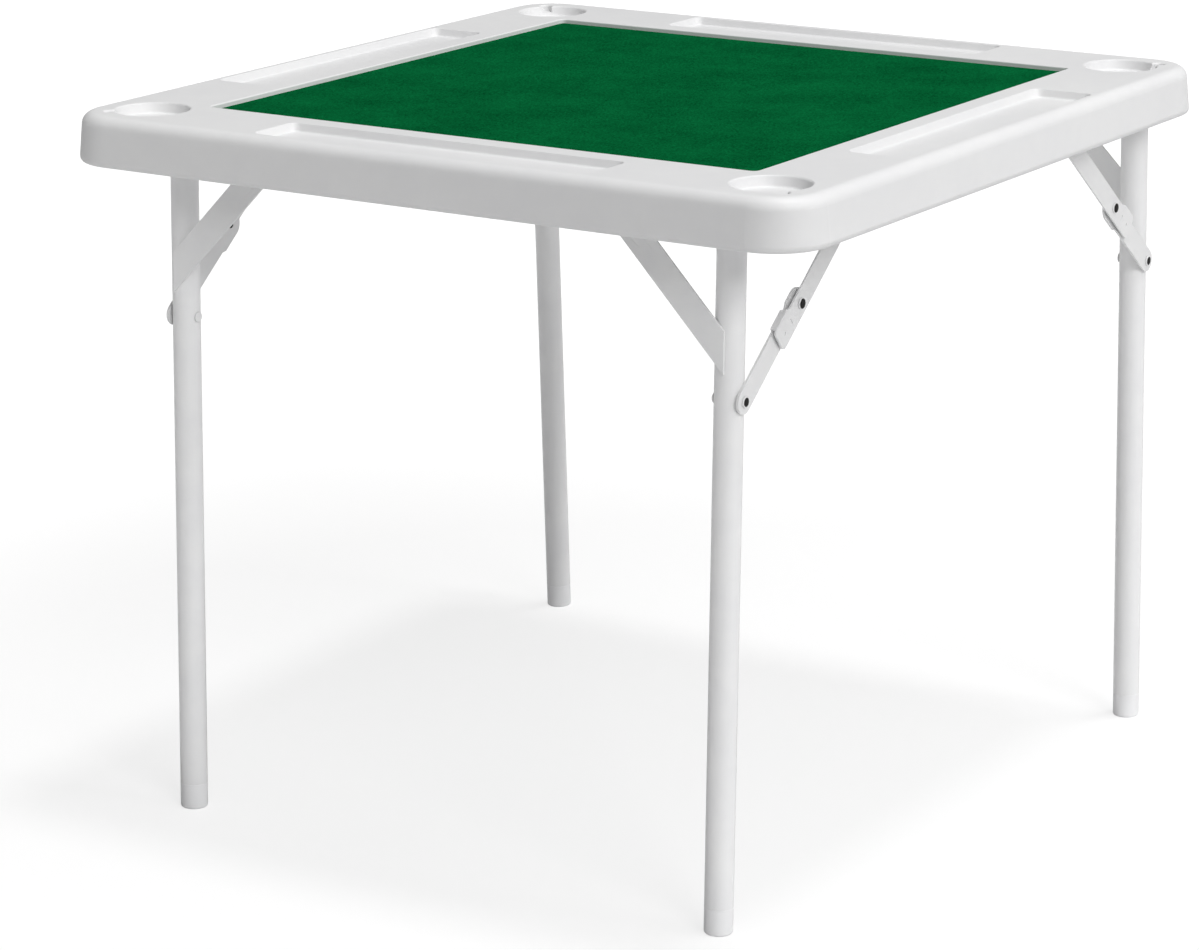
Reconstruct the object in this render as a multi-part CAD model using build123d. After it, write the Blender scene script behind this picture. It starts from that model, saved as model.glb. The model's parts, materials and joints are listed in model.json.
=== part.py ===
from build123d import *
import math
import os

os.makedirs("parts", exist_ok=True)

# Folding card table with a moulded plastic top, a felt playing field, and two tubular
# leg frames that fold up under the top. Each leg has a two-link stay that locks it open.
# The origin is on the floor under the middle of the table. X runs along the front side,
# Y points to the rear, and Z is up. All sizes are in millimetres.

# Tabletop
table_width = 880
table_height = 745
skirt_depth = 51.5
side_draft = 5
corner_radius = 58
rim_rounding = 13
skirt_rounding = 6
skirt_wall = 16.5
skirt_inner_rounding = 4
top_thickness = 16.5

# Felt playing field
felt_border = 113
felt_thickness = 1.5
felt_drop = 4.5
felt_gap = 1
felt_corner_radius = 6
felt_edge_rounding = 1.5

# Cup holders
cup_radius = 39
cup_depth = 11
cup_inset = 71
cup_wall_slope = 4
cup_edge_rounding = 2.5
cup_floor_rounding = 3
cup_notch_width = 12
cup_notch_reach = 10.5
cup_notch_depth = 7

# Chip trays
tray_length = 400
tray_width = 68
tray_depth = 8.5
tray_inset = 54
tray_corner_radius = 10
tray_wall_slope = 4
tray_edge_rounding = 1.5
tray_floor_rounding = 3

# Recesses in the underside, where the two skins of the moulding meet
dimple_length = 54
dimple_width = 15
dimple_depth = 4.5
dimple_margin = 152
dimples_per_side = 6

# Leg frames
tube_diameter = 29
tube_wall = 1.2
leg_lean = 2
pivot_inset = 70
front_leg_inset = 112
rear_leg_inset = 53
front_pivot_drop = 34
rear_pivot_drop = 36
weld_gap = 0.3
touch = 0.05

# Foot caps, plugged into the ends of the legs
foot_height = 27
foot_insert = 22
foot_rounding = 3
foot_edge_rounding = 0.5
foot_fit = 0.1

# End plugs of the cross tubes
plug_flange = 2
plug_insert = 12
plug_rounding = 1
plug_fit = 0.1

# Braces between the legs and the cross tube
brace_width = 29
brace_thickness = 2.2
brace_drop = 126
brace_span = 123
brace_overhang = 3
brace_groove_radius = 3.5
brace_groove_depth = 1
brace_groove_spacing = 11
brace_groove_length = 70

# Bosses and straps that hold the cross tubes
tube_clearance = 0.3
strap_inset = 28
strap_width = 19
strap_thickness = 2
strap_ear_length = 15
boss_width = 23
boss_length = 70
boss_rounding = 3

# Screws
screw_head_radius = 3.6
screw_head_height = 2
screw_shank_radius = 2
screw_fit = 0.1
strap_screw_length = 11
bracket_screw_length = 5
pilot_spare = 1

# Folding stays
stay_leg_reach = 177
stay_top_reach = 215
link_width = 24
lower_link_thickness = 2.5
upper_link_thickness = 2
link_side_gap = 0.3
link_running_gap = 0.1
washer_thickness = 2.6
washer_radius = 8

# Broad head of the lower link, which takes the load at the elbow
head_radius = 15
head_fall_inside = 12
head_fall_outside = 24
head_taper = 5

# Stop tab at the end of the upper link, bent over the lower link's edge
tab_reach = 50
tab_end_rounding = 5
tab_flange_start = 22
tab_flange_length = 24
tab_flange_thickness = 2
tab_flange_gap = 1.5
tab_taper = 7
slot_mark_length = 7
slot_mark_width = 2.4
slot_mark_distance = 23
round_mark_radius = 1.8
round_mark_distance = 38
mark_depth = 0.8

# Rivets
rivet_shank_radius = 4.1
rivet_bore_radius = 3.1
rivet_bore_depth = 6
rivet_ring_radius = 5.5
rivet_ring_height = 2
rivet_rounding = 0.7
rivet_head_radius = 5.5
rivet_head_height = 1.6
rivet_fit = 0.08
elbow_cap_floor = 1

# Brackets that carry the stays under the top
ear_thickness = 2.2
ear_radius = 9
ear_root_width = 24
bracket_foot_width = 14
bracket_foot_length = 36
bracket_foot_thickness = 2
bracket_foot_rounding = 3
bracket_screw_spacing = 24

# One overrun serves every cut
overrun = 2

# Heights and places that follow from the sizes above
skirt_bottom = table_height - skirt_depth
underside = table_height - top_thickness
felt_bottom = table_height - felt_drop - felt_thickness
half_table = table_width / 2
felt_width = table_width - 2 * felt_border
dimple_pitch = (table_width - 2 * dimple_margin) / dimples_per_side
pivot_reach = half_table - pivot_inset
tube_radius = tube_diameter / 2
link_radius = link_width / 2

# Where each frame stands, and which way each quarter of the table faces
leg_place = {"front": half_table - front_leg_inset, "rear": half_table - rear_leg_inset}
pivot_height = {
    "front": table_height - front_pivot_drop,
    "rear": table_height - rear_pivot_drop,
}
ends = {"front": -1, "rear": 1}
sides = {"left": -1, "right": 1}

# Planes of the stay, measured outwards from the middle of its leg
lower_link_x = tube_radius + link_side_gap
washer_x = lower_link_x + lower_link_thickness
upper_link_x = washer_x + washer_thickness + link_running_gap
ear_x = upper_link_x - link_side_gap - ear_thickness

# The stay is straight when the leg is open and doubled up when it is folded away,
# so both links follow from the distance between its end rivets in those two states.
fold_angle = 90 + leg_lean
open_span = math.sqrt(
    stay_top_reach**2
    + stay_leg_reach**2
    - 2 * stay_top_reach * stay_leg_reach * math.cos(math.radians(fold_angle))
)
folded_span = stay_top_reach - stay_leg_reach
upper_link_length = (open_span + folded_span) / 2
lower_link_length = (open_span - folded_span) / 2
stay_slope = math.degrees(
    math.asin(stay_leg_reach * math.sin(math.radians(fold_angle)) / open_span)
)
leg_turn = 180 - fold_angle - stay_slope
print("upper link", round(upper_link_length, 3), "lower link", round(lower_link_length, 3))
print("upper link turns", round(stay_slope, 4), "lower link turns", round(leg_turn, 4))


def save(shape, name):
    """Writes one piece, or one group of like fasteners, under its own name."""
    shape.label = name
    export_step(shape, f"parts/{name}.step")


def in_quarter(shape, side, end):
    """Takes a piece built for the rear right quarter to another quarter of the table."""
    if side < 0:
        shape = mirror(shape, about=Plane.YZ)
    if end < 0:
        shape = mirror(shape, about=Plane.XZ)
    return shape


def upright(radius, length):
    """A cylinder that stands on the origin."""
    return Cylinder(radius, length, align=(Align.CENTER, Align.CENTER, Align.MIN))


def hanging(radius, length):
    """A cylinder that hangs down from the origin."""
    return Cylinder(radius, length, align=(Align.CENTER, Align.CENTER, Align.MAX))


def crosswise(radius, length):
    """A cylinder along X with its middle at the origin."""
    return Rot(0, 90, 0) * Cylinder(radius, length)


def lies_at(height, reach):
    """Picks the edges at one height that lie within a square of the given half width."""

    def test(edge):
        middle = edge.center()
        inside = max(abs(middle.X), abs(middle.Y)) < reach
        return abs(middle.Z - height) < touch and inside

    return test


# Tabletop: its drafted outside, rounded at the rim and along the foot of the skirt
draft_angle = math.degrees(math.atan2(side_draft, skirt_depth))
outline = RectangleRounded(table_width, table_width, corner_radius)
shell = Pos(0, 0, skirt_bottom) * extrude(outline, skirt_depth, taper=draft_angle)
shell = fillet(shell.edges().group_by(Axis.Z)[-1], rim_rounding)
shell = fillet(shell.edges().group_by(Axis.Z)[0], skirt_rounding)

# The hollow inside the skirt narrows upwards with the same draft
cavity_width = table_width - 2 * skirt_wall
cavity_outline = RectangleRounded(cavity_width, cavity_width, corner_radius - skirt_wall)
cavity = extrude(cavity_outline, underside - skirt_bottom, taper=draft_angle)
cavity += extrude(cavity_outline, -overrun)
shell -= Pos(0, 0, skirt_bottom) * cavity
inner_foot = shell.edges().filter_by(lies_at(skirt_bottom, cavity_width / 2 + touch))
shell = fillet(inner_foot, skirt_inner_rounding)

# Recess for the felt
recess_width = felt_width + 2 * felt_gap
recess_outline = RectangleRounded(recess_width, recess_width, felt_corner_radius)
shell -= Pos(0, 0, felt_bottom) * extrude(recess_outline, table_height - felt_bottom + overrun)
felt_edge = shell.edges().filter_by(lies_at(table_height, recess_width / 2 + touch))
shell = fillet(felt_edge, felt_edge_rounding)

# Chip trays with sloping walls, one along each side
tray_place = half_table - tray_inset
tray_slope_angle = math.degrees(math.atan2(tray_wall_slope, tray_depth))
tray_outline = RectangleRounded(tray_length, tray_width, tray_corner_radius)
tray = Rot(180, 0, 0) * extrude(tray_outline, tray_depth, taper=tray_slope_angle)
tray = fillet(tray.edges().group_by(Axis.Z)[0], tray_floor_rounding)
tray += extrude(tray_outline, overrun)
for turn in range(4):
    shell -= Rot(0, 0, 90 * turn) * Pos(0, -tray_place, table_height) * tray

# Cup holders, each with a finger notch towards its corner
cup_place = half_table - cup_inset
cup_slope_angle = math.degrees(math.atan2(cup_wall_slope, cup_depth))
cup = Rot(180, 0, 0) * extrude(Circle(cup_radius), cup_depth, taper=cup_slope_angle)
cup = fillet(cup.edges().group_by(Axis.Z)[0], cup_floor_rounding)
cup += extrude(Circle(cup_radius), overrun)
notch_length = cup_radius + cup_notch_reach - cup_notch_width / 2
notch = extrude(SlotCenterToCenter(notch_length, cup_notch_width), cup_notch_depth + overrun)
cup += Pos(notch_length / 2, 0, -cup_notch_depth) * notch
for turn in range(4):
    corner = Rot(0, 0, 90 * turn) * Pos(cup_place, -cup_place, table_height)
    shell -= corner * Rot(0, 0, -45) * cup

# The mouths of the trays and cup holders are rounded like the rest of the moulding
tray_mouths = shell.edges().filter_by(lies_at(table_height, tray_place + tray_width / 2 + touch))
tray_mouths = [
    edge
    for edge in tray_mouths
    if max(abs(edge.center().X), abs(edge.center().Y)) > tray_place - tray_width / 2 - touch
    and min(abs(edge.center().X), abs(edge.center().Y)) < tray_length / 2 + touch
]
shell = fillet(tray_mouths, tray_edge_rounding)
cup_mouths = [
    edge
    for edge in shell.edges().filter_by(lies_at(table_height, half_table))
    if min(abs(edge.center().X), abs(edge.center().Y)) > cup_place - cup_radius - touch
    and edge.length < 2 * math.pi * cup_radius
]
shell = fillet(cup_mouths, cup_edge_rounding)

# Basket-work recesses in the underside
dimple = extrude(SlotOverall(dimple_length, dimple_width), dimple_depth)
dimple += extrude(SlotOverall(dimple_length, dimple_width), -overrun)
first_dimple = -dimple_pitch * (dimples_per_side - 1) / 2
for row in range(dimples_per_side):
    for column in range(dimples_per_side):
        place = Pos(
            first_dimple + column * dimple_pitch,
            first_dimple + row * dimple_pitch,
            underside,
        )
        shell -= place * Rot(0, 0, 90 * ((row + column) % 2)) * dimple

# Bosses under the top, each with a half-round seat for its cross tube and two screw holes
strap_outer = tube_radius + tube_clearance + strap_thickness
strap_screw_y = strap_outer + strap_ear_length / 2
for end_name, end in ends.items():
    boss_height = underside - pivot_height[end_name]
    boss = Box(
        boss_width,
        boss_length,
        boss_height,
        align=(Align.CENTER, Align.CENTER, Align.MIN),
    )
    boss = fillet(boss.edges().filter_by(Axis.Z), boss_rounding)
    boss -= crosswise(tube_radius + tube_clearance, boss_width + 2 * overrun)
    pilot = upright(screw_shank_radius + screw_fit, strap_screw_length + pilot_spare + overrun)
    for side in sides.values():
        place = Pos(
            side * (leg_place[end_name] - strap_inset),
            end * pivot_reach,
            pivot_height[end_name],
        )
        shell += place * boss
        for along in (-1, 1):
            shell -= place * Pos(0, along * strap_screw_y, -overrun) * pilot

# Screw holes for the stay brackets
bracket_screw_x = ear_x + (ear_thickness + bracket_foot_width) / 2
pilot = upright(screw_shank_radius + screw_fit, bracket_screw_length + pilot_spare + overrun)
for end_name, end in ends.items():
    for side in sides.values():
        for along in (-1, 1):
            shell -= Pos(
                side * (leg_place[end_name] + bracket_screw_x),
                end * (pivot_reach - stay_top_reach) + along * bracket_screw_spacing / 2,
                underside - overrun,
            ) * pilot
save(shell, "tabletop_shell")

# Felt panel
felt_outline = RectangleRounded(felt_width, felt_width, felt_corner_radius - felt_gap)
save(Pos(0, 0, felt_bottom) * extrude(felt_outline, felt_thickness), "felt_panel")


def screw(length):
    """A pan head screw that points up, with the seat of its head at the origin."""
    head = hanging(screw_head_radius, screw_head_height)
    head = fillet(head.edges().group_by(Axis.Z)[0], screw_head_height / 2)
    return head + upright(screw_shank_radius, length)


def rivet(grip, head_height, bore_depth):
    """A tubular rivet along X: the grip starts at the origin and ends under the rolled ring."""
    end = grip + rivet_ring_height
    shank = crosswise(rivet_shank_radius, grip + head_height)
    body = Pos((grip - head_height) / 2, 0, 0) * shank
    ring = crosswise(rivet_ring_radius, rivet_ring_height)
    body += Pos(grip + rivet_ring_height / 2, 0, 0) * fillet(ring.edges(), rivet_rounding)
    if head_height > 0:
        head = crosswise(rivet_head_radius, head_height)
        head = fillet(head.edges().sort_by(Axis.X)[0], rivet_rounding)
        body += Pos(-head_height / 2, 0, 0) * head
    bore = crosswise(rivet_bore_radius, bore_depth + overrun)
    return body - Pos(end - (bore_depth - overrun) / 2, 0, 0) * bore


# Straps that hold the cross tubes in their seats, and their screws
strap_profile = Circle(strap_outer) - Circle(tube_radius + tube_clearance)
strap_profile -= Pos(0, strap_outer) * Rectangle(2 * strap_outer + overrun, 2 * strap_outer)
strap_ear_root = tube_radius + tube_clearance + strap_thickness / 2
strap_ear_tip = strap_outer + strap_ear_length
strap_ear = Rectangle(strap_ear_tip - strap_ear_root, strap_thickness)
for along in (-1, 1):
    ear_middle = along * (strap_ear_root + strap_ear_tip) / 2
    strap_profile += Pos(ear_middle, -strap_thickness / 2) * strap_ear
strap = extrude(Plane.YZ * strap_profile, strap_width / 2, both=True)
strap_tips = strap.edges().filter_by(Axis.Z).group_by(Axis.Y)
strap = fillet(strap_tips[0] + strap_tips[-1], strap_width / 4)
for along in (-1, 1):
    hole = Cylinder(screw_shank_radius + screw_fit, 2 * (strap_thickness + overrun))
    strap -= Pos(0, along * strap_screw_y, 0) * hole
strap_screws = []
for end_name, end in ends.items():
    for side_name, side in sides.items():
        place = Pos(
            side * (leg_place[end_name] - strap_inset),
            end * pivot_reach,
            pivot_height[end_name],
        )
        save(place * strap, f"{end_name}_{side_name}_pivot_strap")
        for along in (-1, 1):
            seat = place * Pos(0, along * strap_screw_y, -strap_thickness)
            strap_screws.append(seat * screw(strap_thickness + strap_screw_length))
save(Compound(children=strap_screws), "pivot_strap_screws")

# Stay brackets: a foot against the underside, and an ear that carries the top rivet
bracket_screws = []
top_rivets = []
for end_name, end in ends.items():
    ear_height = underside - pivot_height[end_name]
    root_place = Pos(0, ear_height - bracket_foot_thickness / 2)
    ear_root = root_place * Rectangle(ear_root_width, bracket_foot_thickness)
    ear_outline = make_hull(Circle(ear_radius).edges() + ear_root.edges())
    ear_outline -= Circle(rivet_shank_radius + rivet_fit)
    bracket = Pos(ear_x, 0, 0) * extrude(Plane.YZ * ear_outline, ear_thickness)
    foot = Pos(ear_x, 0, ear_height) * Box(
        bracket_foot_width,
        bracket_foot_length,
        bracket_foot_thickness,
        align=(Align.MIN, Align.CENTER, Align.MAX),
    )
    foot = fillet(foot.edges().filter_by(Axis.Z), bracket_foot_rounding)
    bracket += foot
    for along in (-1, 1):
        hole = Cylinder(screw_shank_radius + screw_fit, 2 * (bracket_foot_thickness + overrun))
        bracket -= Pos(bracket_screw_x, along * bracket_screw_spacing / 2, ear_height) * hole
    base = Pos(leg_place[end_name], pivot_reach - stay_top_reach, pivot_height[end_name])
    top_grip = upper_link_x + upper_link_thickness + touch - ear_x
    for side_name, side in sides.items():
        save(in_quarter(base * bracket, side, end), f"{end_name}_{side_name}_stay_bracket")
        top_rivet = base * Pos(ear_x, 0, 0) * rivet(top_grip, rivet_head_height, rivet_bore_depth)
        top_rivets.append(in_quarter(top_rivet, side, end))
        for along in (-1, 1):
            seat = base * Pos(
                bracket_screw_x,
                along * bracket_screw_spacing / 2,
                ear_height - bracket_foot_thickness,
            )
            fastener = seat * screw(bracket_foot_thickness + bracket_screw_length)
            bracket_screws.append(in_quarter(fastener, side, end))
save(Compound(children=bracket_screws), "stay_bracket_screws")
save(Compound(children=top_rivets), "stay_top_rivets")


def leg_tube(floor_reach):
    """A round leg that hangs from the pivot axis, shaped at its top to sit on the cross tube."""
    leg_length = floor_reach - foot_height
    leg = hanging(tube_radius, leg_length)
    leg -= Pos(0, 0, overrun) * hanging(tube_radius - tube_wall, leg_length + 2 * overrun)
    leg -= crosswise(tube_radius + weld_gap, 2 * tube_diameter)
    hole = crosswise(rivet_shank_radius + rivet_fit, 2 * tube_diameter)
    return leg - Pos(0, 0, -stay_leg_reach) * hole


def foot_cap(floor_reach, axis_height):
    """A plastic foot, flush with the leg it plugs into and cut flat where it stands."""
    lean_spare = tube_radius * math.tan(math.radians(leg_lean))
    cap = Pos(0, 0, foot_height) * hanging(tube_radius, foot_height + lean_spare)
    cap = fillet(cap.edges().group_by(Axis.Z)[0], foot_rounding)
    cap = fillet(cap.edges().group_by(Axis.Z)[-1], foot_edge_rounding)
    insert = upright(tube_radius - tube_wall - foot_fit, foot_insert)
    insert = fillet(insert.edges().group_by(Axis.Z)[-1], foot_rounding)
    cap += Pos(0, 0, foot_height) * insert
    cap = Rot(leg_lean, 0, 0) * Pos(0, 0, -floor_reach) * cap
    below_floor = Pos(0, 0, -axis_height) * Box(
        2 * axis_height,
        2 * axis_height,
        foot_height,
        align=(Align.CENTER, Align.CENTER, Align.MAX),
    )
    return cap - below_floor


def brace():
    """A flat strip across the corner of leg and cross tube, on the outer face of the frame."""
    slope = math.degrees(math.atan2(brace_drop, brace_span))
    length = math.hypot(brace_drop, brace_span)
    middle = Pos(-brace_span / 2, -brace_drop / 2) * Rot(0, 0, -slope)
    outline = middle * Rectangle(length + 2 * brace_width, brace_width)
    reach = length + brace_width
    corner = Pos(brace_overhang, brace_overhang) * Rectangle(
        reach, reach, align=(Align.MAX, Align.MAX)
    )
    strip = extrude(Plane.XZ * (outline & corner), -brace_thickness)
    groove = Rot(0, 90, 0) * Cone(
        brace_groove_radius,
        brace_groove_radius - brace_groove_depth,
        brace_groove_length,
        align=(Align.CENTER, Align.CENTER, Align.MIN),
    )
    start = Pos(-brace_span, 0, 0) * Rot(0, slope, 0)
    rise = brace_thickness + brace_groove_radius - brace_groove_depth
    for along in (-1, 1):
        strip -= start * Pos(0, rise, along * brace_groove_spacing / 2) * groove
    return Pos(0, tube_radius + touch, 0) * strip


# Stay outlines in their own plane: the rivet line runs along X and the pivot side is +Y
flange_outer = link_radius + tab_flange_gap + tab_flange_thickness
flange_start = upper_link_length + tab_flange_start
flange_end = flange_start + tab_flange_length
upper_tip = upper_link_length + tab_reach
upper_strip = Pos(upper_tip / 2, 0) * Rectangle(upper_tip, link_width)
upper_outline = upper_strip + Circle(link_radius)
upper_outline += make_face(
    Polyline(
        (flange_start - tab_taper, 0),
        (flange_start - tab_taper, link_radius),
        (flange_start, flange_outer),
        (flange_end, flange_outer),
        (upper_tip, link_radius),
        (upper_tip, 0),
        close=True,
    )
)
far_corner = upper_outline.vertices().group_by(Axis.X)[-1].sort_by(Axis.Y)[0]
upper_outline = fillet(far_corner, tab_end_rounding)
upper_outline -= Circle(rivet_shank_radius + rivet_fit)
upper_outline -= Pos(upper_link_length, 0) * Circle(rivet_shank_radius + rivet_fit)

lower_strip = Pos(lower_link_length / 2, 0) * Rectangle(lower_link_length, link_width)
lower_outline = lower_strip + Pos(lower_link_length, 0) * Circle(link_radius)
lower_outline += Circle(head_radius)
lower_outline += make_face(
    Polyline(
        (0, -head_radius),
        (head_fall_outside, -head_radius),
        (head_fall_outside + head_taper, -link_radius),
        (head_fall_outside + head_taper, 0),
        (head_fall_inside + head_taper, 0),
        (head_fall_inside + head_taper, link_radius),
        (head_fall_inside, head_radius),
        (0, head_radius),
        close=True,
    )
)
lower_outline -= Circle(rivet_shank_radius + rivet_fit)
lower_outline -= Pos(lower_link_length, 0) * Circle(rivet_shank_radius + rivet_fit)


def upper_link():
    """The long link, with its stop tab bent over and its two pressed marks."""
    link = Pos(upper_link_x, 0, 0) * extrude(Plane.YZ * upper_outline, upper_link_thickness)
    flange_depth = upper_link_x + upper_link_thickness - lower_link_x - touch
    flange = Pos(
        upper_link_x + upper_link_thickness,
        (flange_start + flange_end) / 2,
        flange_outer,
    ) * Box(
        flange_depth,
        tab_flange_length,
        tab_flange_thickness,
        align=(Align.MAX, Align.CENTER, Align.MAX),
    )
    link += flange
    mark = extrude(
        Plane.YZ * SlotOverall(slot_mark_length, slot_mark_width, rotation=90), mark_depth
    )
    face_x = upper_link_x + upper_link_thickness - mark_depth
    link -= Pos(face_x, upper_link_length + slot_mark_distance, 0) * mark
    round_mark = extrude(Plane.YZ * Circle(round_mark_radius), mark_depth)
    return link - Pos(face_x, upper_link_length + round_mark_distance, 0) * round_mark


def lower_link():
    """The short link, with its broad head at the elbow."""
    return Pos(lower_link_x, 0, 0) * extrude(Plane.YZ * lower_outline, lower_link_thickness)


# Leg frames and stays, built in the rear right quarter and taken to the others
stay_top = Pos(0, -stay_top_reach, 0) * Rot(-stay_slope, 0, 0)
stay_elbow = stay_top * Pos(0, upper_link_length, 0)
leaned = Rot(leg_lean, 0, 0)
washer = crosswise(washer_radius, washer_thickness)
washer -= crosswise(rivet_shank_radius + rivet_fit, washer_thickness + 2 * overrun)
washer = Pos(washer_x + washer_thickness / 2, 0, 0) * washer
elbow_pin_length = lower_link_thickness + washer_thickness
elbow_pin = Pos(lower_link_x + elbow_pin_length / 2, 0, 0) * crosswise(
    rivet_shank_radius, elbow_pin_length
)
cap_bore = upper_link_thickness + rivet_ring_height - elbow_cap_floor
elbow_cap = Pos(upper_link_x, 0, 0) * rivet(upper_link_thickness + touch, 0, cap_bore)
leg_grip = tube_diameter + link_side_gap + lower_link_thickness + touch
leg_rivet = Pos(-tube_radius, 0, 0) * rivet(leg_grip, rivet_head_height, rivet_bore_depth)
plug = Pos(plug_flange / 2, 0, 0) * fillet(
    crosswise(tube_radius, plug_flange).edges().sort_by(Axis.X)[-1], plug_rounding
)
plug += Pos(-plug_insert / 2, 0, 0) * crosswise(tube_radius - tube_wall - plug_fit, plug_insert)

for end_name, end in ends.items():
    axis_height = pivot_height[end_name]
    floor_reach = axis_height / math.cos(math.radians(leg_lean))
    axle = Pos(0, pivot_reach, axis_height)
    quarter = Pos(leg_place[end_name], pivot_reach, axis_height)
    half_tube = leg_place[end_name] + tube_radius - plug_flange

    cross_tube = crosswise(tube_radius, 2 * half_tube)
    cross_tube -= crosswise(tube_radius - tube_wall, 2 * half_tube + 2 * overrun)
    save(in_quarter(axle * cross_tube, 1, end), f"{end_name}_cross_tube")

    plugs = []
    rivets = []
    for side_name, side in sides.items():
        name = f"{end_name}_{side_name}"
        plugs.append(in_quarter(axle * Pos(half_tube, 0, 0) * plug, side, end))
        rivet_place = quarter * leaned * Pos(0, 0, -stay_leg_reach)
        rivets.append(in_quarter(rivet_place * leg_rivet, side, end))
        pieces = {
            "leg": leaned * leg_tube(floor_reach),
            "foot_cap": foot_cap(floor_reach, axis_height),
            "brace": leaned * brace(),
            "upper_link": stay_top * upper_link(),
            "elbow_cap": stay_elbow * elbow_cap,
            "lower_link": stay_elbow * lower_link(),
            "elbow_pin": stay_elbow * elbow_pin,
            "elbow_washer": stay_elbow * washer,
        }
        for piece_name, piece in pieces.items():
            save(in_quarter(quarter * piece, side, end), f"{name}_{piece_name}")
    save(Compound(children=plugs), f"{end_name}_tube_plugs")
    save(Compound(children=rivets), f"{end_name}_leg_rivets")
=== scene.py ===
import bmesh
import bpy
import json
import math
from mathutils import Matrix, Vector


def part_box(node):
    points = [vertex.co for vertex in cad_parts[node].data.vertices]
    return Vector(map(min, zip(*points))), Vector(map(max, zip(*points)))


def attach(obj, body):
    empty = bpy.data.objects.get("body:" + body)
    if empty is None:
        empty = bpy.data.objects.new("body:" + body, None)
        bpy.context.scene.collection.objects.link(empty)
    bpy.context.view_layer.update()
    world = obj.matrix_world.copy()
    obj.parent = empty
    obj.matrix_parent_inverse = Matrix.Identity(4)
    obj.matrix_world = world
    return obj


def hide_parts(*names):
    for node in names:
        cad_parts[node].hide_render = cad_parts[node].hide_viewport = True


# %% [markdown]
# A folding card table is a white blow-moulded plastic top on two folding frames of
# enamelled steel tube. Every rigid piece is already a solid of the right size, so this
# script starts by loading them as a fixed frame. It then works on what the eye sees: the
# finish of each surface, the felt, and the small shapes that catch the light.

# %% Load the fixed frame and note its box
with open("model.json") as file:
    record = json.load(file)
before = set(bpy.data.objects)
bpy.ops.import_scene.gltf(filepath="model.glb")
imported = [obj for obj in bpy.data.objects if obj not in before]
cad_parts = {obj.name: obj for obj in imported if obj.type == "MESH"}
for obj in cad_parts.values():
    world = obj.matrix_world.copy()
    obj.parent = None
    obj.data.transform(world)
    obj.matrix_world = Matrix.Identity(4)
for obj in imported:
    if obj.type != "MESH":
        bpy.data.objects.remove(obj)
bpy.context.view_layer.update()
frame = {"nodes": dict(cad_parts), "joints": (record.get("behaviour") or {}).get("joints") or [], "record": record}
nodes = frame["nodes"]
print("solids in the frame:", len(nodes))

# %% [markdown]
# Shader maths reads better as an expression than as a list of nodes and links. The small
# class below wraps one socket, so that `0.4 + 0.1 * grain` adds its own Math nodes. All
# other nodes come from `Finish.node`, which sets a node's options before its sockets.

# %% A small language for materials
class Field:
    """One output socket that can be added and multiplied."""

    def __init__(self, finish, socket):
        self.finish = finish
        self.socket = socket

    def math(self, operation, first, second):
        return self.finish.node(
            "ShaderNodeMath", {"operation": operation}, {0: first, 1: second}
        )

    def __add__(self, other):
        return self.math("ADD", self, other)

    __radd__ = __add__

    def __mul__(self, other):
        return self.math("MULTIPLY", self, other)

    __rmul__ = __mul__


class Finish:
    """A material under construction: its Principled shader and the nodes that feed it."""

    def __init__(self, name, **constants):
        self.material = bpy.data.materials.new(name)
        self.material.use_nodes = True
        self.tree = self.material.node_tree
        self.shader = self.tree.nodes["Principled BSDF"]
        for socket, value in constants.items():
            self.shader.inputs[socket.replace("_", " ")].default_value = value

    def node(self, kind, settings=None, inputs=None, output=0):
        made = self.tree.nodes.new(kind)
        for setting, value in (settings or {}).items():
            setattr(made, setting, value)
        for socket, value in (inputs or {}).items():
            if isinstance(value, Field):
                self.tree.links.new(value.socket, made.inputs[socket])
            else:
                made.inputs[socket].default_value = value
        return Field(self, made.outputs[output])

    def place(self):
        """Where a point lies on the object, in metres."""
        return self.node("ShaderNodeTexCoord", output="Object")

    def noise(self, scale, detail=2.0, roughness=0.5, at=None):
        """Soft random variation; scale is the number of blobs in a metre."""
        return self.node(
            "ShaderNodeTexNoise",
            inputs={
                "Vector": at or self.place(),
                "Scale": scale,
                "Detail": detail,
                "Roughness": roughness,
            },
        )

    def stretched(self, along):
        """The same place with each axis scaled, which draws a pattern out."""
        return self.node(
            "ShaderNodeMapping", inputs={"Vector": self.place(), "Scale": along}
        )

    def mix(self, factor, dark, light):
        """A colour between two colours."""
        return self.node(
            "ShaderNodeMix", {"data_type": "RGBA"}, {0: factor, 6: dark, 7: light}, 2
        )

    def spread(self, value, low, high):
        """Stretches the part of a value between low and high to run from 0 to 1."""
        return self.node(
            "ShaderNodeMapRange",
            {"clamp": True},
            {"Value": value, "From Min": low, "From Max": high},
        )

    def bump(self, height, distance, under=None):
        """Relief of a height in metres, laid over the relief under it if one is given."""
        inputs = {"Height": height, "Distance": distance, "Strength": 1.0}
        if under is not None:
            inputs["Normal"] = under
        return self.node("ShaderNodeBump", inputs=inputs)

    def feed(self, **fields):
        """Links fields to the Principled shader's sockets and returns the material."""
        for socket, field in fields.items():
            self.tree.links.new(
                field.socket, self.shader.inputs[socket.replace("_", " ")]
            )
        return self.material


def tint(red, green, blue):
    """A colour as read off a screen, from 0 to 255, turned into the light it stands for."""
    light = []
    for level in (red, green, blue):
        level = level / 255
        straight = level <= 0.04045
        light.append(level / 12.92 if straight else ((level + 0.055) / 1.055) ** 2.4)
    return (*light, 1.0)


# %% [markdown]
# The top is white polyethylene, blown into a mould whose walls were lightly blasted. That
# leaves a satin skin: a very fine grain that softens the highlight, and broad, faint
# changes of tone where the plastic cooled at different speeds. Two noises of a few and of
# some dozens of blobs in a metre make the tone, one of more than a thousand makes the
# grain, and a broad one lets the surface wave a little.

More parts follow.
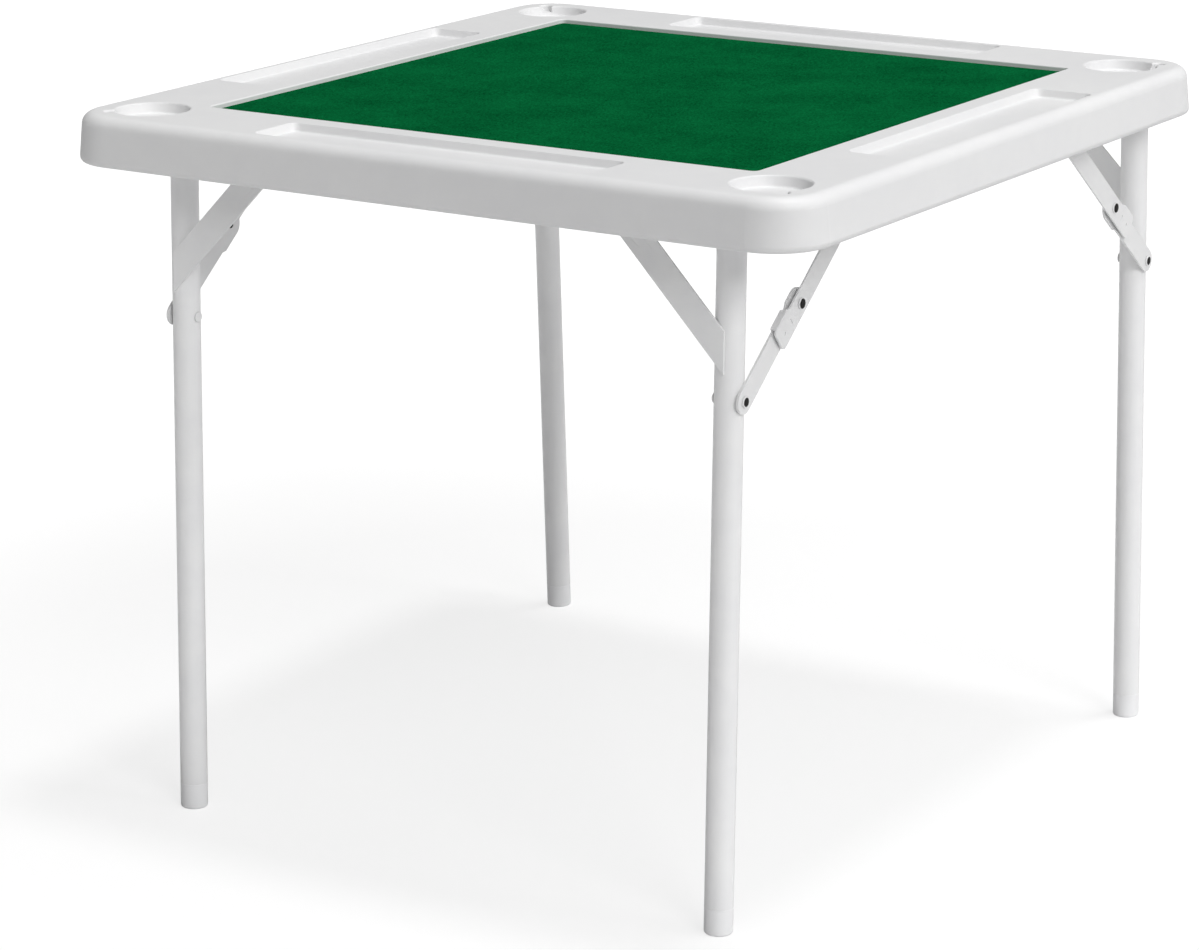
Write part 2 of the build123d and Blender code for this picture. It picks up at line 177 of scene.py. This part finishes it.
# %% Moulded white plastic
def moulded_plastic():
    finish = Finish("moulded_white_plastic", IOR=1.5, Specular_IOR_Level=0.42)
    tone = finish.noise(5.0, detail=3.0)
    flow = finish.noise(60.0, detail=4.0, roughness=0.6)
    grain = finish.noise(1500.0, detail=2.0)
    shade = finish.spread(0.7 * tone + 0.3 * flow, 0.3, 0.7)
    colour = finish.mix(shade, tint(221, 221, 222), tint(227, 227, 227))
    dull = 0.4 + 0.1 * flow + 0.06 * grain
    waves = finish.bump(finish.noise(9.0), 0.0006)
    skin = finish.bump(grain, 0.00005, under=waves)
    return finish.feed(Base_Color=colour, Roughness=dull, Normal=skin)


# %% [markdown]
# Card-table felt is a short, dense mat of green fibres. From a step away it shows two
# things: a fine speckle where single fibres catch the light, and slow patches where the
# nap leans one way or another. The fibres run two ways, so two noises are drawn out
# across each other. The photograph shows hardly any bloom, so there is only a trace of
# sheen and no gloss.

# %% Green felt
def green_felt():
    finish = Finish(
        "green_felt",
        Sheen_Weight=0.01,
        Sheen_Roughness=0.5,
        Sheen_Tint=tint(60, 190, 110),
        Specular_IOR_Level=0.0,
    )
    patches = finish.noise(14.0, detail=4.0, roughness=0.6)
    warp = finish.noise(1.0, detail=2.0, at=finish.stretched((1200.0, 380.0, 900.0)))
    weft = finish.noise(1.0, detail=2.0, at=finish.stretched((380.0, 1200.0, 900.0)))
    fibre = 0.5 * warp + 0.5 * weft
    speck = finish.spread(0.8 * fibre + 0.2 * patches, 0.38, 0.62)
    colour = finish.mix(speck, tint(0, 58, 28), tint(9, 107, 58))
    dull = 0.9 + 0.08 * fibre
    nap = finish.bump(fibre, 0.0006)
    return finish.feed(Base_Color=colour, Roughness=dull, Normal=nap)


# %% [markdown]
# The frames are sprayed with white enamel. It is smoother and glossier than the plastic,
# and it has the slight orange peel of paint that flowed before it dried. The pressed
# strips get a little more of it, because flat parts hold a thicker coat.

# %% White enamel on steel
def white_enamel(name, light, peel):
    finish = Finish(name, Coat_Weight=0.3, Coat_Roughness=0.12, Specular_IOR_Level=0.5)
    cloud = finish.noise(25.0, detail=3.0)
    colour = finish.mix(
        finish.spread(cloud, 0.3, 0.7),
        tint(light - 3, light - 3, light - 2),
        tint(light + 2, light + 2, light + 2),
    )
    dull = 0.26 + 0.1 * finish.noise(180.0, detail=3.0)
    skin = finish.bump(finish.noise(420.0, detail=1.0), peel)
    return finish.feed(Base_Color=colour, Roughness=dull, Normal=skin)


# %% [markdown]
# The foot caps and end plugs are injection moulded, so they are smoother than the top.

# %% Glossy moulded plastic
def cap_plastic():
    finish = Finish("cap_plastic", IOR=1.5, Specular_IOR_Level=0.5)
    cloud = finish.noise(40.0, detail=3.0)
    scuffs = finish.noise(300.0, detail=4.0, roughness=0.7)
    colour = finish.mix(cloud, tint(236, 236, 237), tint(241, 241, 242))
    dull = 0.24 + 0.2 * scuffs
    skin = finish.bump(scuffs, 0.00004)
    return finish.feed(Base_Color=colour, Roughness=dull, Normal=skin)


# %% [markdown]
# Washers and screws are zinc plated. Zinc is a pale, slightly blotchy metal.

# %% Zinc plate
def zinc(name, light):
    finish = Finish(name, Metallic=1.0)
    blotch = finish.noise(500.0, detail=4.0, roughness=0.65)
    dark = tint(light - 26, light - 25, light - 22)
    colour = finish.mix(blotch, dark, tint(light, light, light))
    dull = 0.3 + 0.25 * blotch
    skin = finish.bump(blotch, 0.00003)
    return finish.feed(Base_Color=colour, Roughness=dull, Normal=skin)


# %% [markdown]
# This near-black finish paints the shade inside the hollow rivets, on the domed plugs below.
# The elbow pins take it as bare steel that has gone nearly black with oil.

# %% Near-black steel, and painted shade for the rivet bores
def bore_shade_and_pin_steel():
    finish = Finish("bore_shade_and_pin_steel", Metallic=0.2, Specular_IOR_Level=0.25)
    mottle = finish.noise(700.0, detail=4.0, roughness=0.7)
    colour = finish.mix(mottle, tint(12, 12, 13), tint(34, 33, 32))
    return finish.feed(Base_Color=colour, Roughness=0.45 + 0.3 * mottle)


# %% [markdown]
# Each solid names the finish that it takes, so one loop paints all of them.

# %% Paint the solids
finishes = {
    "top_plastic": moulded_plastic(),
    "felt": green_felt(),
    "frame_enamel": white_enamel("frame_enamel", 238, 0.00006),
    "brace_enamel": white_enamel("brace_enamel", 236, 0.00008),
    "bracket_enamel": white_enamel("bracket_enamel", 226, 0.00008),
    "stay_enamel": white_enamel("stay_enamel", 232, 0.00008),
    "foot_plastic": cap_plastic(),
    "rivet_enamel": white_enamel("rivet_enamel", 232, 0.00005),
    # the rivet_core finish paints the shade inside the hollow rivets, and colours the elbow pins
    "rivet_core": bore_shade_and_pin_steel(),
    "washer_steel": zinc("washer_zinc", 205),
    "screw_steel": zinc("screw_zinc", 190),
}
for entry in frame["record"]["subparts"]:
    mesh = nodes[entry["node"]].data
    mesh.materials.clear()
    mesh.materials.append(finishes[entry["material_slot"]])
print("finishes:", len(finishes))


# %% [markdown]
# The felt is a square of cloth, laid in its recess. It starts as one flat face with
# rounded corners. That face is drawn up by the cloth's thickness, and its upper edge is
# rounded over, because a cut edge of felt is soft.

# %% The felt
felt_width = 0.654
felt_thickness = 0.0015
felt_corner = 0.005


def new_piece(name, mesh_maker, body, slot):
    """Turns a bmesh into an object that rides on a body and takes a slot's finish."""
    mesh = bpy.data.meshes.new(name)
    mesh_maker.to_mesh(mesh)
    mesh_maker.free()
    piece = bpy.data.objects.new(name, mesh)
    bpy.context.scene.collection.objects.link(piece)
    mesh.materials.append(finishes[slot])
    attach(piece, body)
    print(name, "faces:", len(mesh.polygons))
    return piece


felt_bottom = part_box("felt_panel")[0].z
cloth = bmesh.new()
bmesh.ops.create_grid(cloth, x_segments=1, y_segments=1, size=felt_width / 2)
bmesh.ops.bevel(
    cloth,
    geom=cloth.verts[:],
    offset=felt_corner,
    segments=5,
    profile=0.5,
    affect="VERTICES",
    material=-1,
)
bmesh.ops.translate(cloth, verts=cloth.verts, vec=(0, 0, felt_bottom))
lifted = bmesh.ops.extrude_face_region(cloth, geom=cloth.faces[:])["geom"]
top_points = [part for part in lifted if isinstance(part, bmesh.types.BMVert)]
top_edges = [part for part in lifted if isinstance(part, bmesh.types.BMEdge)]
bmesh.ops.translate(cloth, verts=top_points, vec=(0, 0, felt_thickness))
bmesh.ops.bevel(
    cloth,
    geom=top_edges,
    offset=felt_thickness / 2,
    segments=3,
    profile=0.5,
    affect="EDGES",
    material=-1,
)
bmesh.ops.recalc_face_normals(cloth, faces=cloth.faces[:])
felt = new_piece("felt_cloth", cloth, "tabletop", "felt")
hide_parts("felt_panel")


# %% [markdown]
# The rivets of the stays are painted tubes. The shade inside each hollow rivet is painted: a
# near-black plug closes the outer end of each. A plug is a stem that fills the tube and a low
# dome that leaves a narrow ring of the white rivet showing. Its half outline is spun once
# round the rivet's axis. The axis of a leg rivet or a top rivet is the axis of the joint that
# it makes. An elbow rivet lies in the middle of its own cap. The upper link passes close over
# the leg rivet when the leg is folded, so the dome there is nearly flat.

# %% Painted shade in the hollow rivets
stem_radius = 0.00308
under_dome = 0.00002
full_dome = 0.0009
flat_dome = 0.0002
spin_steps = 28
weld_distance = 1e-6

# how deep the stem goes, and the dome's radius: for the leg and top rivets, and the elbows
long_shade_plug = (0.0058, 0.0045)
elbow_shade_plug = (0.0028, 0.005)


def core(name, mouth, side, size, dome_height, body):
    """A near-black domed plug in a rivet's bore, which paints the shade of the hollow; the mouth faces outwards,
    to the given side.
    """
    depth, dome_radius = size
    outline = [
        (-depth, 0.0),
        (-depth, stem_radius),
        (under_dome, stem_radius),
        (under_dome, dome_radius),
        (0.35 * dome_height, 0.98 * dome_radius),
        (0.7 * dome_height, 0.85 * dome_radius),
        (0.9 * dome_height, 0.6 * dome_radius),
        (dome_height, 0.0),
    ]
    turned = bmesh.new()
    corners = [turned.verts.new((along, across, 0.0)) for along, across in outline]
    edges = [turned.edges.new(pair) for pair in zip(corners, corners[1:])]
    bmesh.ops.spin(
        turned,
        geom=corners + edges,
        cent=(0, 0, 0),
        axis=(1, 0, 0),
        angle=math.tau,
        steps=spin_steps,
        use_merge=True,
    )
    bmesh.ops.remove_doubles(turned, verts=turned.verts, dist=weld_distance)
    bmesh.ops.scale(turned, verts=turned.verts, vec=(side, 1, 1))
    bmesh.ops.translate(turned, verts=turned.verts, vec=mouth)
    bmesh.ops.recalc_face_normals(turned, faces=turned.faces[:])
    # the near-black slot finish paints the shade of the hollow rivet
    return new_piece(name, turned, body, "rivet_core")


joint_place = {joint["name"]: joint["pos_m"] for joint in frame["joints"]}
# each rivet gets a near-black plug that paints the shade of its hollow
for end in ("front", "rear"):
    leg_rivet_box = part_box(f"{end}_leg_rivets")
    for side_name, side in (("left", -1), ("right", 1)):
        quarter = f"{end}_{side_name}"
        outer = 1 if side > 0 else 0
        mouth = (leg_rivet_box[outer].x, *joint_place[f"{quarter}_lower_swing"][1:])
        name = f"{quarter}_leg_rivet_shade_plug"
        core(name, mouth, side, long_shade_plug, flat_dome, f"{end}_frame")

        cap_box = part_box(f"{quarter}_elbow_cap")
        middle = (cap_box[0] + cap_box[1]) / 2
        mouth = (cap_box[outer].x, middle.y, middle.z)
        name = f"{quarter}_elbow_shade_plug"
        core(name, mouth, side, elbow_shade_plug, full_dome, f"{quarter}_upper_stay")

        mouth = (cap_box[outer].x, *joint_place[f"{quarter}_upper_swing"][1:])
        name = f"{quarter}_top_rivet_shade_plug"
        core(name, mouth, side, long_shade_plug, full_dome, "tabletop")

# %% [markdown]
# The table stands on a plain pale floor. To the camera the floor is mostly a white glow
# with a share of its own lit surface mixed in, so it comes out white and keeps a light
# version of the table's shadow. Further out the glow takes over, as on a sweep of paper
# that has its own lamps. To every other ray the floor is a plain pale surface, so the glow
# doesn't fill the shade under the table.

# %% Floor
floor_reach = 40.0
glow_strength = 1.14
glow_near = 0.65
glow_starts, glow_ends = 0.9, 2.2

floor_mesh = bmesh.new()
bmesh.ops.create_grid(floor_mesh, x_segments=1, y_segments=1, size=floor_reach)
floor_data = bpy.data.meshes.new("floor")
floor_mesh.to_mesh(floor_data)
floor_mesh.free()
floor = bpy.data.objects.new("floor", floor_data)
bpy.context.scene.collection.objects.link(floor)

paper = Finish("white_floor", Roughness=0.9, Specular_IOR_Level=0.0)
paper_tone = paper.noise(0.6)
paper.feed(Base_Color=paper.mix(paper_tone, tint(224, 224, 224), tint(227, 227, 227)))
glow = paper.node("ShaderNodeEmission", inputs={"Strength": glow_strength})
seen = paper.node("ShaderNodeLightPath", output="Is Camera Ray")
distance = paper.node(
    "ShaderNodeVectorMath", {"operation": "LENGTH"}, {0: paper.place()}, "Value"
)
far_out = paper.spread(distance, glow_starts, glow_ends)
glow_share = seen * (glow_near + (1 - glow_near) * far_out)
both = paper.node("ShaderNodeMixShader", inputs={0: glow_share, 2: glow})
paper.tree.links.new(paper.shader.outputs["BSDF"], both.socket.node.inputs[1])
sheet_end = paper.tree.nodes["Material Output"]
paper.tree.links.new(both.socket, sheet_end.inputs["Surface"])
floor_data.materials.append(paper.material)
print("floor:", 2 * floor_reach, "m wide")

# %% [markdown]
# The light is a soft studio light: an even white surround and four lamps. A small lamp
# high above draws the table's shade on the floor. A broad panel hangs over the right side
# and makes the top brighter there. One lower lamp on the right throws the short shadow
# beside each foot, and a broad one at the front right lights the legs below the skirt's
# shade. All of it adds up to about one on the tabletop, so that a colour renders about as
# it is written.

# %% Surround and lamps
table_height = 0.745
surround_level = 0.25

world = bpy.data.worlds.new("surround")
bpy.context.scene.world = world
world.use_nodes = True
surround = world.node_tree.nodes["Background"]
surround.inputs["Color"].default_value = (1, 1, 1, 1)
surround.inputs["Strength"].default_value = surround_level


def aimed(lamp, place):
    """Puts a lamp at a place and turns it towards the middle of the tabletop."""
    holder = bpy.data.objects.new(lamp.name, lamp)
    bpy.context.scene.collection.objects.link(holder)
    holder.location = place
    away = Vector(place) - Vector((0, 0, table_height))
    holder.rotation_euler = away.to_track_quat("Z", "Y").to_euler()


def distant_lamp(name, place, level, width):
    """A lamp so far off that it lights near and far floor alike."""
    lamp = bpy.data.lights.new(name, "SUN")
    lamp.energy = level
    lamp.angle = math.radians(width)
    aimed(lamp, place)


distant_lamp("high_lamp", (0.5, 0.4, 4.6), 1.15, 9)
distant_lamp("right_lamp", (4.0, 0.85, 2.6), 0.3, 12)
distant_lamp("front_right_lamp", (3.4, -2.0, 3.5), 1.2, 25)

panel = bpy.data.lights.new("right_panel", "AREA")
panel.shape = "SQUARE"
panel.size = 1.6
panel.energy = 28.0
aimed(panel, (1.7, 0.2, 3.6))
print("lamps:", len(bpy.data.lights))

# %% [markdown]
# The camera stands about where the photograph seems to have been taken: 4 m away, 0.7 m
# above the top, with a long lens. In the photograph the legs are parallel, as a shifted
# lens draws them. This lens isn't shifted, so that the table stays in the picture when the
# camera walks round it. Its angles and place were fitted so that the felt, the skirt and
# the legs fall as near as they can to where a shifted lens would put them, and the legs
# lean by a few pixels.

# %% Camera
turn, dip, tilt = -0.58140, 0.27756, -0.00833
camera_place = (2.1387, -3.3550, 1.4538)
picture_width = 1199
focal_pixels = 3817.8

flat = math.cos(dip)
ahead = Vector((math.sin(turn) * flat, math.cos(turn) * flat, -math.sin(dip)))
level = Vector((math.cos(turn), -math.sin(turn), 0.0))
above = level.cross(ahead)
right = math.cos(tilt) * level + math.sin(tilt) * above
up = math.cos(tilt) * above - math.sin(tilt) * level

eye = bpy.data.cameras.new("photo_camera")
eye.sensor_fit = "HORIZONTAL"
eye.sensor_width = 36.0
eye.lens = focal_pixels / picture_width * eye.sensor_width
eye.clip_end = 200.0
camera = bpy.data.objects.new("photo_camera", eye)
bpy.context.scene.collection.objects.link(camera)
turned = Matrix((right, up, -ahead)).transposed().to_4x4()
camera.matrix_world = Matrix.Translation(camera_place) @ turned
bpy.context.scene.camera = camera
print("lens:", round(eye.lens, 1), "mm")

# %% [markdown]
# The plain view transform shows colours as they are written.

# %% Colours as written
bpy.context.scene.view_settings.view_transform = "Standard"
